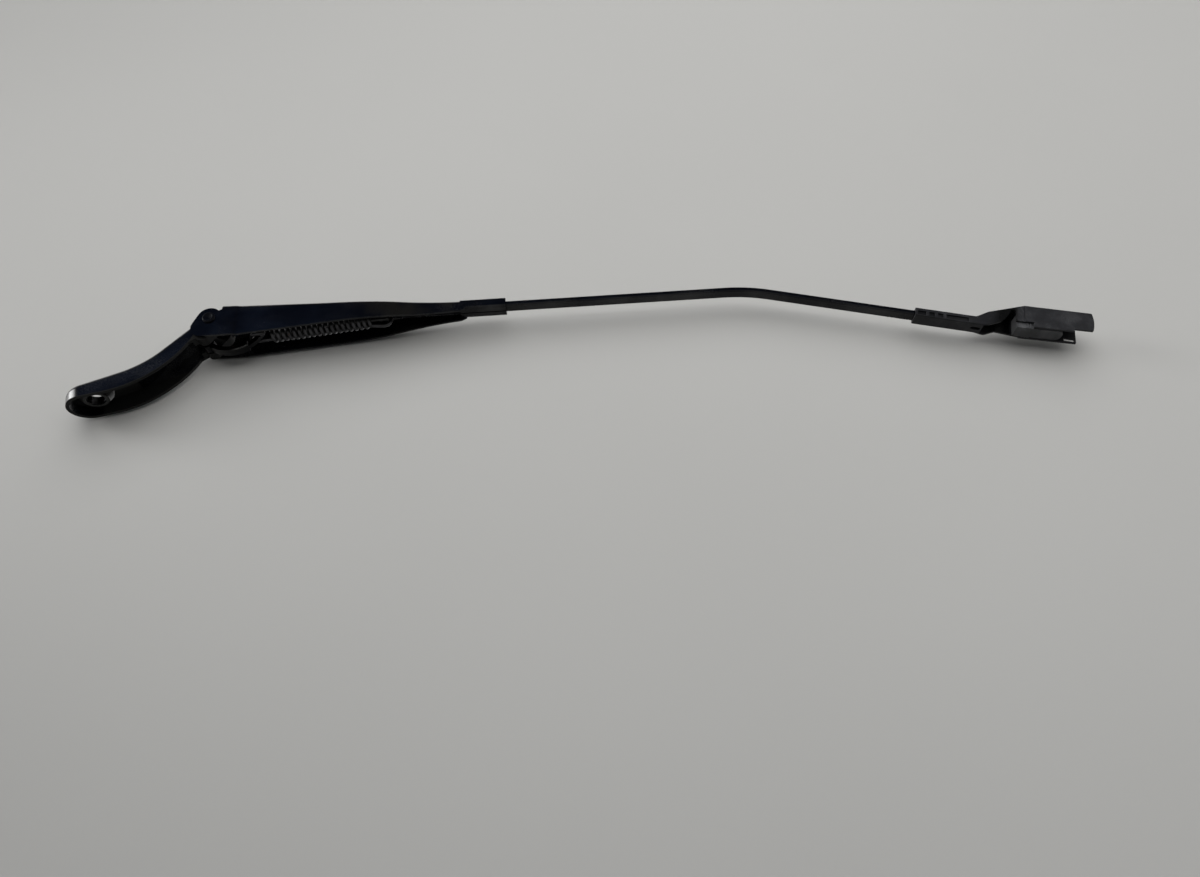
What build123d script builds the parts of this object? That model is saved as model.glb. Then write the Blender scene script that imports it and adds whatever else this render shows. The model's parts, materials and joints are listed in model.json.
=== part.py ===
from build123d import *
import os
from math import atan2, cos, degrees, hypot, pi, radians, sin, tan

# Windscreen wiper arm, in millimetres.
# The origin is on the spindle axis at the boss face, +Z leaves the car body and +X runs to the blade end.
# The near side is -Y and the far side +Y.
# The arm is drawn in its free state, drooping below the spindle plane until the web rests on the head.

# Hinge and spring linkage, seen from the side
HINGE_X = 74.6
HINGE_Z = 34.3
ARM_DROOP = 10.8
SPRING_PIN_BACK = 5.6
SPRING_PIN_DROP = 10.0
ANCHOR_X = 111.4
ANCHOR_Z = 1.1

# Running and seating clearances
RUNNING_CLEARANCE = 0.05
SEAT_CLEARANCE = 0.05
SIDE_CLEARANCE = 0.3
STOP_CLEARANCE = 0.3

# Widest miss allowed when an edge is picked by its place
EDGE_TOLERANCE = 0.1

# Cast head
HEAD_WIDTH = 25.0
HEAD_BACK = 16.4
HEAD_WALL = 2.2
CROWN_Z = 7.1
CROWN_SLOPE = 9.0
NECK_SLOPE = 36.0
KNEE_RADIUS = 60.0
CROWN_EDGE_RADIUS = 4.5
RIM_Z = -4.0
RIM_BEND_X = 8.0
RIM_BEND_RADIUS = 68.0
RIM_BEND_ANGLE = 50.0
BOSS_RADIUS = 7.5
BOSS_LAND_LENGTH = 1.0
BORE_RADIUS = 5.5
BORE_LAND_LENGTH = 2.2
BORE_TOP_RADIUS = 4.25
NUT_SEAT_Z = 5.4
NUT_SEAT_RADIUS = 8.5
NUT_SEAT_WALL = 1.2
EAR_RADIUS = 7.2
FORK_LOBE_RADIUS = 4.3
FORK_GAP = 9.0
NOSE_LENGTH = 12.0
NOSE_DEPTH = 7.0
NOSE_TIP_RADIUS = 1.2
NOSE_SIDE_GAP = 3.0

# Hinge pin, bushes and spring pin
HINGE_PIN_RADIUS = 3.0
RIVET_HEAD_RADIUS = 3.9
RIVET_HEAD_HEIGHT = 1.0
RIVET_RIM_HEIGHT = 0.45
RIVET_DIMPLE_RADIUS = 2.1
RIVET_DIMPLE_DEPTH = 0.5
BUSH_WALL = 1.2
BUSH_FLANGE = 0.7
BUSH_FLANGE_RADIUS = 6.4
SPRING_PIN_RADIUS = 2.0

# C-shaped spring hook
HOOK_WIDTH = 6.0
HOOK_STRIP = 3.0
HOOK_SPAN = 31.3
HOOK_BOW = 7.8
HOOK_EYE_WALL = 2.4
HOOK_MOUTH_ANGLE = 80.0
HOOK_TIP_LENGTH = 5.5
HOOK_TIP_WIDTH = 3.0
HOOK_TIP_RADIUS = 0.9

# Tension spring
WIRE_RADIUS = 1.3
WIRE_SIDES = 6
COIL_RADIUS = 3.7
COIL_PITCH = 3.4
COIL_TURNS = 18.75
COIL_START = 38.9
LOOP_SETBACK = 0.6
TAIL_DROP = 6.0
TAIL_BEND_RADIUS = 4.0
TAIL_RISE = 4.8

# Folded channel
SHEET = 1.2
CHEEK_WIDTH = 26.0
FLANK_WIDTH = 25.0
JOGGLE_X = 15.0
JOGGLE_LENGTH = 4.0
WEB_START_X = 7.3
WEB_START_Z = 10.7
WEB_Z = 8.5
WEB_BEND_RADIUS = 600.0
WEB_EDGE_RADIUS = 4.0
CHEEK_EAR_RADIUS = 7.7
CHEEK_BACK_ANGLE = 67.0
CHEEK_NOTCH_ANGLE = 45.0
HEEL_RADIUS = 7.0
LIP_Z = -13.5
LIP_BEND_X = 18.0
LIP_BEND_RADIUS = 60.0
TAPER_START_X = 80.0
SLEEVE_START_X = 160.0
SLEEVE_LENGTH = 26.0
SLEEVE_WALL = 1.8
SHOULDER_Z = -0.8
SHOULDER_LENGTH = 3.5
SLEEVE_EDGE_RADIUS = 1.8
SEAM_GAP = 0.8

# Flat bar
ROD_WIDTH = 7.2
ROD_HEIGHT = 3.5
ROD_Z = 4.65
ROD_EDGE_RADIUS = 1.0
ROD_TAIL_X = 104.0
ROD_BEND_X = 343.0
ROD_BEND_ANGLE = 15.0
ROD_BEND_RADIUS = 110.0
ROD_OUTER_LENGTH = 107.0
ROD_SOCKET_DEPTH = 34.0
ANCHOR_HOLE_CLEARANCE = 0.6

# Moulded blade holder, along its own axis from the mouth of its sleeve
HOLDER_WALL = 1.3
HOLDER_SLEEVE_LENGTH = 37.5
RAMP_START_HEIGHT = 7.6
RAMP_START_LENGTH = 7.7
RAMP_RADIUS = 2.5
RAMP_LENGTH = 29.5
RAMP_WIDTH = 11.8
HOOD_LENGTH = 40.0
HOOD_WIDTH = 13.2
HOOD_TOP_Z = 16.2
HOOD_RISE = 1.2
HOOD_LIP_Z = -0.8
HOOD_LIP_RISE = 2.0
HOOD_WALL = 1.4
HOOD_EDGE_RADIUS = 2.0
NOSE_BULGE = 1.4
LIP_STEP_LENGTH = 10.8
LIP_STEP = 1.6
ARCH_SETBACK = 15.0
ARCH_LENGTH = 7.5
ARCH_Z = 0.5
ARCH_DIP = 0.3

# Openings in the walls of the holder: a notch in the near one, a shorter far one with a slot
HOLLOW_LEAD = 6.4
NOTCH_STEP_SETBACK = 5.3
NOTCH_LENGTH = 13.3
NOTCH_BEND_LENGTH = 6.3
NOTCH_BEND_Z = 4.4
NOTCH_TOP_LENGTH = 3.1
NOTCH_TOP_Z = 11.0
NOTCH_STEP_LENGTH = 10.5
NOTCH_STEP_Z = 3.0
FAR_WALL_SHORTFALL = 4.6
FAR_SLOT_LENGTH = 6.5
FAR_SLOT_HEIGHT = 2.1
FAR_SLOT_EDGE = 0.9
POCKET_DEPTH = 0.8
POCKET_Z = -0.8
POCKET_HEIGHT = 3.0
POCKET_STARTS = (1.4, 8.4, 13.8, 19.0)
POCKET_LENGTHS = (5.2, 3.6, 3.4, 14.0)
DRAIN_SLOT_LENGTH = 6.0
DRAIN_SLOT_WIDTH = 2.6
DRAIN_SLOT_FROM_END = 0.8

# Blade adapter and its pin
ADAPTER_STEP_GAP = 0.8
ADAPTER_BLOCK_LENGTH = 10.5
ADAPTER_TOP_Z = 9.9
ADAPTER_PLATE_LENGTH = 19.0
ADAPTER_PLATE_HEIGHT = 1.8
ADAPTER_PLATE_RADIUS = 3.5
ADAPTER_RIB = 0.8
ADAPTER_RIB_PITCH = 1.7
ADAPTER_RIB_DEPTH = 0.5
ADAPTER_RIBS = 3
ADAPTER_PIN_RADIUS = 1.5
ADAPTER_PIN_INSET = 2.1
ADAPTER_PIN_Z = 7.6
PIN_RECESS_RADIUS = 2.2
PIN_RECESS_DEPTH = 0.6

# Places worked out from the values above
FORK_WIDTH = CHEEK_WIDTH - 2 * (SHEET + BUSH_FLANGE + SIDE_CLEARANCE)
BUSH_RADIUS = HINGE_PIN_RADIUS + RUNNING_CLEARANCE + BUSH_WALL
HINGE = (HINGE_X, HINGE_Z)
SPRING_PIN = (HINGE_X - SPRING_PIN_BACK, HINGE_Z - SPRING_PIN_DROP)
ARM = Pos(HINGE_X, 0, HINGE_Z) * Rot(0, ARM_DROOP, 0)


def arm_to_row(x, z):
    """Side-view place in the row frame of a point given in the arm's frame."""
    droop = radians(ARM_DROOP)
    return (HINGE_X + x * cos(droop) + z * sin(droop), HINGE_Z - x * sin(droop) + z * cos(droop))


ANCHOR = arm_to_row(ANCHOR_X, ANCHOR_Z)
SPRING_FALL = degrees(atan2(SPRING_PIN[1] - ANCHOR[1], ANCHOR[0] - SPRING_PIN[0]))
SPRING_REACH = hypot(ANCHOR[0] - SPRING_PIN[0], ANCHOR[1] - SPRING_PIN[1])
SPRING = Pos(SPRING_PIN[0], 0, SPRING_PIN[1]) * Rot(0, SPRING_FALL, 0)
ROD_BEND_TURN = radians(ROD_BEND_ANGLE)
SLEEVE_WIDTH = ROD_WIDTH + 2 * (SLEEVE_WALL + SEAT_CLEARANCE)
SLEEVE_HEIGHT = ROD_HEIGHT + 2 * (SLEEVE_WALL + SEAT_CLEARANCE)
HOLDER_WIDTH = ROD_WIDTH + 2 * (HOLDER_WALL + SEAT_CLEARANCE)
HOLDER_HEIGHT = ROD_HEIGHT + 2 * (HOLDER_WALL + SEAT_CLEARANCE)
WEB_FALL = (WEB_START_Z - WEB_Z) / (TAPER_START_X - WEB_START_X)
HOOD_START_X = HOLDER_SLEEVE_LENGTH + RAMP_LENGTH
HOOD_END_X = HOOD_START_X + HOOD_LENGTH
LIP_SLOPE = HOOD_LIP_RISE / HOOD_LENGTH
NOTCH_STEP_X = HOOD_START_X - NOTCH_STEP_SETBACK
NOTCH_START_X = NOTCH_STEP_X - NOTCH_LENGTH
ADAPTER_WIDTH = RAMP_WIDTH - 2 * (HOOD_WALL + SEAT_CLEARANCE)
ADAPTER_BACK_X = NOTCH_STEP_X + ADAPTER_STEP_GAP
ADAPTER_FRONT_X = ADAPTER_BACK_X + ADAPTER_BLOCK_LENGTH
ADAPTER_PIN_X = ADAPTER_BACK_X + ADAPTER_PIN_INSET
HOLDER = ARM * Pos(
    ROD_BEND_X + ROD_OUTER_LENGTH * cos(ROD_BEND_TURN), 0, ROD_Z - ROD_OUTER_LENGTH * sin(ROD_BEND_TURN)
) * Rot(0, ROD_BEND_ANGLE, 0)


def side_solid(outline, width, middle=0.0):
    """A side outline in x and z, carried evenly across the width."""
    return Pos(0, middle, 0) * extrude(Plane.XZ * outline, width / 2, both=True)


def s_curve(start, end):
    """Two equal arcs that leave the start and reach the end along X."""
    middle = ((start[0] + end[0]) / 2, (start[1] + end[1]) / 2)
    return TangentArc(start, middle, tangent=(1, 0)) + TangentArc(end, middle, tangent=(-1, 0))


def closed(*edges):
    """The face inside a chain of edges."""
    return make_face([edge for chain in edges for edge in chain.edges()])


def cross_pin(radius, length, x, z):
    """A round bar along Y, centred on the middle plane."""
    return Pos(x, 0, z) * Rot(90, 0, 0) * Cylinder(radius, length)


def runs_along_x(edge):
    """Whether an edge runs more along X than across it."""
    return abs((edge % 0.5).X) > 0.5


def save(name, solid):
    """Write one piece under its node's name."""
    export_step(solid, f"parts/{name}.step")


def head_plan(inset):
    """Plan outline of the head: a round back end and flanks that narrow to the fork."""
    half, fork_half = HEAD_WIDTH / 2 - inset, FORK_WIDTH / 2 - inset
    back = Pos(HEAD_WIDTH / 2 - HEAD_BACK, 0) * Circle(half)
    fork_start = HINGE_X - 2 * EAR_RADIUS
    fork_length = NOSE_LENGTH + 3 * EAR_RADIUS
    fork = Pos(fork_start + fork_length / 2, 0) * Rectangle(fork_length, 2 * fork_half)
    neck_end = Line((fork_start, -fork_half), (fork_start, fork_half))
    outline = make_hull(back.edges() + neck_end.edges()) + fork
    bends = [corner for corner in outline.vertices() if abs(corner.X - fork_start) < EDGE_TOLERANCE]
    return fillet(bends, KNEE_RADIUS)


def crown_line(drop):
    """Top line of the head in side view, moved down by the drop: the crown, a long knee and the neck."""
    neck = radians(NECK_SLOPE)
    crown = radians(CROWN_SLOPE)
    reach = EAR_RADIUS - drop
    end = (HINGE_X - reach * sin(neck), HINGE_Z + reach * cos(neck))
    crown_z = CROWN_Z - drop / cos(crown)
    knee_x = (end[1] - end[0] * tan(neck) - crown_z) / (tan(crown) - tan(neck))
    knee = (knee_x, crown_z + knee_x * tan(crown))
    back_x = -2 * HEAD_BACK
    return FilletPolyline(
        (back_x, crown_z + back_x * tan(crown)), knee, end, radius=KNEE_RADIUS + drop
    )


def head_form(outline):
    """A side outline of the head, trimmed to its plan outline."""
    form = side_solid(outline, 2 * HEAD_WIDTH)
    return form & Pos(0, 0, -HEAD_WIDTH) * extrude(head_plan(0), 4 * HEAD_WIDTH)


def head_neck():
    """Outer form of the casting from the back end to the hinge, with its upper edges rounded."""
    crown = crown_line(0)
    back_x = -2 * HEAD_BACK
    rim = Line((back_x, RIM_Z), (RIM_BEND_X, RIM_Z))
    bend = CenterArc((RIM_BEND_X, RIM_Z + RIM_BEND_RADIUS), RIM_BEND_RADIUS, -90, RIM_BEND_ANGLE)
    front = Polyline(crown @ 1, HINGE, SPRING_PIN, bend @ 1)
    neck = head_form(closed(crown, front, bend, rim, Line((back_x, RIM_Z), crown @ 0)))
    return fillet([edge for edge in neck.edges() if on_crown(edge)], CROWN_EDGE_RADIUS)


def head_fork():
    """Outer form of the fork: an ear round the hinge and a lobe round the spring pin."""
    ear = Pos(*HINGE) * Circle(EAR_RADIUS)
    lobe = Pos(*SPRING_PIN) * Circle(FORK_LOBE_RADIUS)
    return head_form(make_hull(ear.edges() + lobe.edges()))


def on_crown(edge):
    """Whether an edge runs along the top of a flank or of the back end."""
    if edge.geom_type == GeomType.LINE and not runs_along_x(edge):
        return False
    middle = edge @ 0.5
    past_bend = min(max(middle.X - RIM_BEND_X, 0), RIM_BEND_RADIUS)
    rim_z = RIM_Z + RIM_BEND_RADIUS - (RIM_BEND_RADIUS**2 - past_bend**2) ** 0.5
    return middle.X < HINGE_X - EAR_RADIUS and middle.Z > rim_z + CROWN_EDGE_RADIUS


def arm_head():
    """Cast head: a hollow shell with a spindle boss and a fork for the hinge and the spring hook."""
    body = head_neck() + head_fork()
    roof = crown_line(HEAD_WALL)
    below = RIM_Z - HEAD_WALL
    hollow_end = SPRING_PIN[0] - FORK_LOBE_RADIUS - HEAD_WALL
    back_x = (roof @ 0).X
    under_roof = closed(
        roof,
        Polyline(roof @ 1, ((roof @ 1).X, below), (back_x, below), roof @ 0),
    )
    hollow = side_solid(under_roof, 2 * HEAD_WIDTH)
    plan = head_plan(HEAD_WALL)
    reach = Pos(hollow_end - 2 * HEAD_WIDTH, 0) * Rectangle(4 * HEAD_WIDTH, 2 * HEAD_WIDTH)
    hollow = hollow & Pos(0, 0, -HEAD_WIDTH) * extrude(plan & reach, 4 * HEAD_WIDTH)
    slot_back = hollow_end - HEAD_WALL
    slot_front = HINGE_X + NOSE_LENGTH + EAR_RADIUS
    slot = Pos((slot_back + slot_front) / 2, 0, 0) * Box(slot_front - slot_back, FORK_GAP, 4 * HEAD_WIDTH)
    roof_end = SPRING_PIN[0] - FORK_LOBE_RADIUS
    keep_roof = side_solid(
        closed(roof, Polyline(roof @ 1, (roof_end, 2 * HEAD_WIDTH), (back_x, 2 * HEAD_WIDTH), roof @ 0)),
        FORK_GAP,
    )
    keep_roof &= Pos(roof_end - 2 * HEAD_WIDTH, 0, 0) * Box(4 * HEAD_WIDTH, FORK_GAP, 8 * HEAD_WIDTH)
    head = body - hollow - (slot - keep_roof) + (spindle_boss() & body)
    head += stop_noses()
    bore = revolve(
        Plane.XZ
        * make_face(
            Polyline(
                (0, 0),
                (BORE_RADIUS, 0),
                (BORE_RADIUS, BORE_LAND_LENGTH),
                (BORE_TOP_RADIUS, NUT_SEAT_Z),
                (NUT_SEAT_RADIUS, NUT_SEAT_Z),
                (NUT_SEAT_RADIUS, 2 * HEAD_WIDTH),
                (0, 2 * HEAD_WIDTH),
                close=True,
            )
        ),
        Axis.Z,
    )
    head -= bore
    head -= cross_pin(BUSH_RADIUS, 2 * HEAD_WIDTH, *HINGE)
    return head - cross_pin(SPRING_PIN_RADIUS, 2 * HEAD_WIDTH, *SPRING_PIN)


def spindle_boss():
    """Boss in the hollow of the head, flared at its root to carry the whole nut seat."""
    root_radius = NUT_SEAT_RADIUS + NUT_SEAT_WALL
    return revolve(
        Plane.XZ
        * make_face(
            Polyline(
                (0, 0),
                (BOSS_RADIUS, 0),
                (BOSS_RADIUS, BOSS_LAND_LENGTH),
                (root_radius, NUT_SEAT_Z - NUT_SEAT_WALL),
                (root_radius, CROWN_Z),
                (0, CROWN_Z),
                close=True,
            )
        ),
        Axis.Z,
    )


def stop_noses():
    """Two noses on the fork that the channel's web rests on at the end of its fall."""
    below_web = SHEET + STOP_CLEARANCE
    tip_z = web_z(NOSE_LENGTH) - below_web
    wall = (FORK_WIDTH - FORK_GAP) / 2 - NOSE_SIDE_GAP
    outline = make_face(
        Polyline(
            (0, 0),
            (WEB_START_X, web_z(WEB_START_X) - below_web),
            (NOSE_LENGTH, tip_z),
            (NOSE_LENGTH, tip_z - NOSE_DEPTH / 2),
            (NOSE_DEPTH, -NOSE_TIP_RADIUS),
            (0, -NOSE_TIP_RADIUS),
            close=True,
        )
    )
    middle = (FORK_GAP + wall) / 2
    nose = fillet(outline.vertices().sort_by(Axis.X)[-2:], NOSE_TIP_RADIUS)
    return ARM * (side_solid(nose, wall, middle) + side_solid(nose, wall, -middle))


def hinge_bush(side):
    """Flanged bush in one wall of the fork. The flange keeps the cheek off the casting."""
    length = (FORK_WIDTH - FORK_GAP) / 2
    inner = HINGE_PIN_RADIUS + RUNNING_CLEARANCE
    outline = Polyline(
        (inner, 0),
        (BUSH_RADIUS, 0),
        (BUSH_RADIUS, length),
        (BUSH_FLANGE_RADIUS, length),
        (BUSH_FLANGE_RADIUS, length + BUSH_FLANGE),
        (inner, length + BUSH_FLANGE),
        close=True,
    )
    bush = revolve(Plane.XZ * make_face(outline), Axis.Z)
    turn = Rot(-90, 0, 0) if side > 0 else Rot(90, 0, 0)
    return Pos(HINGE_X, side * FORK_GAP / 2, HINGE_Z) * turn * bush


def hinge_pin():
    """Rivet through both cheeks, with low domed heads that are dimpled by the riveting."""
    half = CHEEK_WIDTH / 2
    rim = half + RIVET_RIM_HEIGHT
    dome = half + RIVET_HEAD_HEIGHT
    shank = Polyline(
        (0, 0),
        (HINGE_PIN_RADIUS, 0),
        (HINGE_PIN_RADIUS, half),
        (RIVET_HEAD_RADIUS, half),
        (RIVET_HEAD_RADIUS, rim),
    )
    crown = TangentArc((RIVET_HEAD_RADIUS, rim), (RIVET_DIMPLE_RADIUS, dome), tangent=(0, 1))
    dimple = Polyline((RIVET_DIMPLE_RADIUS, dome), (0, dome - RIVET_DIMPLE_DEPTH), (0, 0))
    outline = closed(shank, crown, dimple)
    end = revolve(Plane.XZ * outline, Axis.Z)
    pin = Rot(-90, 0, 0) * end + Rot(90, 0, 0) * end
    return Pos(HINGE_X, 0, HINGE_Z) * pin


def spring_hook():
    """C-shaped strip: an open eye on the spring pin, a bow that clears the hinge and a tip for the loop."""
    radius = (HOOK_SPAN**2 / 4 + HOOK_BOW**2) / (2 * HOOK_BOW)
    centre = (HOOK_SPAN / 2, radius - HOOK_BOW)
    start = degrees(atan2(-centre[1], -centre[0]))
    end = degrees(atan2(-centre[1], HOOK_SPAN - centre[0])) + degrees(HOOK_TIP_LENGTH / radius)
    outer = CenterArc(centre, radius + HOOK_STRIP / 2, start, end - start)
    inner = CenterArc(centre, radius - HOOK_STRIP / 2, start, end - start)
    bow = closed(outer, inner, Line(outer @ 0, inner @ 0), Line(outer @ 1, inner @ 1))
    bow = fillet(bow.vertices().sort_by(Axis.X)[-2:], HOOK_TIP_RADIUS)
    eye_inner = SPRING_PIN_RADIUS + RUNNING_CLEARANCE
    eye = Circle(eye_inner + HOOK_EYE_WALL)
    reach = 2 * (eye_inner + HOOK_EYE_WALL)
    mouth = make_face(
        Polyline(
            (0, 0),
            (reach, 0),
            (reach * cos(radians(HOOK_MOUTH_ANGLE)), reach * sin(radians(HOOK_MOUTH_ANGLE))),
            close=True,
        )
    )
    strip = side_solid(eye + bow - Circle(eye_inner) - mouth, HOOK_WIDTH)
    tip_start = HOOK_SPAN - 2 * HOOK_STRIP
    trim = Pos(tip_start + HOOK_SPAN / 2, 0, 0) * Box(HOOK_SPAN, HOOK_TIP_WIDTH, 4 * HOOK_SPAN)
    body = Pos(tip_start - HOOK_SPAN, 0, 0) * Box(2 * HOOK_SPAN, HOOK_WIDTH, 4 * HOOK_SPAN)
    return SPRING * (strip & (trim + body))


def coil():
    """Coil of the spring: ruled strips between helices through the corners of the wire's section."""
    lines = []
    for corner in range(WIRE_SIDES):
        angle = 2 * pi * corner / WIRE_SIDES
        start = Plane((COIL_START + WIRE_RADIUS * sin(angle), 0, 0), x_dir=(0, 1, 0), z_dir=(1, 0, 0))
        helix = Helix(COIL_PITCH, COIL_PITCH * COIL_TURNS, COIL_RADIUS + WIRE_RADIUS * cos(angle))
        lines.append((start * helix).edge())
    strips = [Face.make_surface_from_curves(*pair) for pair in zip(lines, lines[1:] + lines[:1])]
    ends = [make_face(Polyline(*[line @ end for line in lines], close=True)).face() for end in (0, 1)]
    return Solid(Shell(strips + ends))


def tension_spring():
    """Close-wound wire: a loop round the hook's tip, the coil and a tail that turns up into the rod."""
    coil_length = COIL_PITCH * COIL_TURNS
    loop_x = HOOK_SPAN - LOOP_SETBACK
    loop = Line((COIL_START, COIL_RADIUS), (loop_x, COIL_RADIUS))
    loop += CenterArc((loop_x, 0), COIL_RADIUS, 90, 180)
    loop += Line((loop_x, -COIL_RADIUS), (COIL_START - 2 * WIRE_RADIUS, -COIL_RADIUS))
    coil_end = COIL_START + coil_length
    tail = Plane.XZ * FilletPolyline(
        (coil_end, -COIL_RADIUS),
        (SPRING_REACH, -TAIL_DROP),
        (SPRING_REACH, TAIL_RISE),
        radius=TAIL_BEND_RADIUS,
    )
    spring = coil()
    for path in (loop, tail):
        knuckle = Pos(path @ 0) * Sphere(WIRE_RADIUS)
        spring = spring + knuckle + sweep(Plane(path @ 0, z_dir=path % 0) * Circle(WIRE_RADIUS), path)
    return SPRING * spring


def channel_plan(start_x, inset):
    """Plan outline of the channel: cheeks, a joggle, parallel flanks and a taper down to the sleeve."""
    cheek, flank = CHEEK_WIDTH / 2 - inset, FLANK_WIDTH / 2 - inset
    sleeve = SLEEVE_WIDTH / 2 - inset
    joggle_end = JOGGLE_X + JOGGLE_LENGTH
    side = Line((start_x, cheek), (JOGGLE_X, cheek))
    side += s_curve((JOGGLE_X, cheek), (joggle_end, flank))
    side += Line((joggle_end, flank), (TAPER_START_X, flank))
    side += s_curve((TAPER_START_X, flank), (SLEEVE_START_X, sleeve))
    back = Line((start_x, -cheek), (start_x, cheek))
    front = Line((SLEEVE_START_X, -sleeve), (SLEEVE_START_X, sleeve))
    return closed(side, mirror(side, Plane.XZ), back, front)


def web_z(x):
    """Height of the web over the sloping stretch behind the taper."""
    return WEB_START_Z - WEB_FALL * (x - WEB_START_X)


def trough(start_x, inset, floor_z):
    """Solid inside a channel wall: the plan outline carried up to the web, with its upper edges rounded."""
    back_x = WEB_START_X - CHEEK_WIDTH
    top = WEB_Z - inset
    web = FilletPolyline(
        (back_x, web_z(back_x) - inset), (TAPER_START_X, top), (SLEEVE_START_X, top), radius=WEB_BEND_RADIUS
    )
    under = Polyline(web @ 1, (SLEEVE_START_X, floor_z), (back_x, floor_z), web @ 0)
    form = side_solid(closed(web, under), 2 * CHEEK_WIDTH)
    form &= Pos(0, 0, floor_z) * extrude(channel_plan(start_x, inset), 4 * CHEEK_WIDTH)
    upper = [edge for edge in form.edges() if (edge @ 0.5).Z > top - EDGE_TOLERANCE and runs_along_x(edge)]
    return fillet(upper, WEB_EDGE_RADIUS - inset)


def channel_cheek(side):
    """Flat cheek: an ear round the hinge pin, a slanted back edge and a rounded heel."""
    turn = radians(CHEEK_BACK_ANGLE)
    ear_back = (-CHEEK_EAR_RADIUS * sin(turn), CHEEK_EAR_RADIUS * cos(turn))
    heel_x = ear_back[0] - (ear_back[1] - LIP_Z) / tan(turn)
    bend_z = web_z(JOGGLE_X) - WEB_EDGE_RADIUS
    notch = radians(CHEEK_NOTCH_ANGLE)
    blade = make_face(
        Polyline(
            (0, 0),
            ear_back,
            (heel_x, LIP_Z),
            (JOGGLE_X, LIP_Z),
            (JOGGLE_X, bend_z),
            (WEB_START_X, bend_z),
            (CHEEK_EAR_RADIUS * cos(notch), CHEEK_EAR_RADIUS * sin(notch)),
            close=True,
        )
    )
    blade = fillet(blade.vertices().sort_by(Axis.X)[0], HEEL_RADIUS)
    outline = blade + Circle(CHEEK_EAR_RADIUS) - Circle(HINGE_PIN_RADIUS)
    return side_solid(outline, SHEET, side * (CHEEK_WIDTH - SHEET) / 2)


def channel():
    """Folded sheet: cheeks on the hinge pin, a web, flanks and a sleeve crimped on the rod."""
    floor_z = LIP_Z - SHEET
    sleeve_z = ROD_Z - SLEEVE_HEIGHT / 2
    lip = FilletPolyline(
        (WEB_START_X, LIP_Z),
        (LIP_BEND_X, LIP_Z),
        (SLEEVE_START_X - SHOULDER_LENGTH, SHOULDER_Z),
        radius=LIP_BEND_RADIUS,
    )
    above = Polyline(
        lip @ 1, (SLEEVE_START_X, sleeve_z), (SLEEVE_START_X, 2 * WEB_Z), (WEB_START_X, 2 * WEB_Z), lip @ 0
    )
    body = trough(WEB_START_X, 0, floor_z) - trough(WEB_START_X - CHEEK_WIDTH, SHEET, 2 * floor_z)
    body &= side_solid(closed(lip, above), 2 * CHEEK_WIDTH)
    body += channel_cheek(1) + channel_cheek(-1)
    overlap = SHOULDER_LENGTH
    start = Plane((SLEEVE_START_X - overlap, 0, ROD_Z), x_dir=(0, 1, 0), z_dir=(1, 0, 0))
    length = SLEEVE_LENGTH + overlap
    sleeve = extrude(start * RectangleRounded(SLEEVE_WIDTH, SLEEVE_HEIGHT, SLEEVE_EDGE_RADIUS), length)
    body += sleeve
    tail = Plane((ROD_TAIL_X, 0, ROD_Z), x_dir=(0, 1, 0), z_dir=(1, 0, 0))
    body -= extrude(tail * rod_section(SEAT_CLEARANCE), SLEEVE_START_X + SLEEVE_LENGTH - ROD_TAIL_X)
    seam = Pos(SLEEVE_START_X, 0, sleeve_z) * Box(2 * length, SEAM_GAP, ROD_HEIGHT)
    return ARM * (body - seam)


def rod_section(clearance):
    """Section of the flat bar, or of the hole that takes it."""
    return RectangleRounded(
        ROD_WIDTH + 2 * clearance, ROD_HEIGHT + 2 * clearance, ROD_EDGE_RADIUS + clearance
    )


def rod():
    """Flat bar with one bend, and a hole in its inner end for the spring."""
    reach = ROD_OUTER_LENGTH + ROD_SOCKET_DEPTH
    end = (ROD_BEND_X + reach * cos(ROD_BEND_TURN), ROD_Z - reach * sin(ROD_BEND_TURN))
    line = FilletPolyline((ROD_TAIL_X, ROD_Z), (ROD_BEND_X, ROD_Z), end, radius=ROD_BEND_RADIUS)
    start = Plane((ROD_TAIL_X, 0, ROD_Z), x_dir=(0, 1, 0), z_dir=(1, 0, 0))
    bar = sweep(start * rod_section(0), Plane.XZ * line)
    hole = Pos(ANCHOR_X, 0, ROD_Z) * Cylinder(WIRE_RADIUS + ANCHOR_HOLE_CLEARANCE, 2 * ROD_HEIGHT)
    return ARM * (bar - hole)


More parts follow.
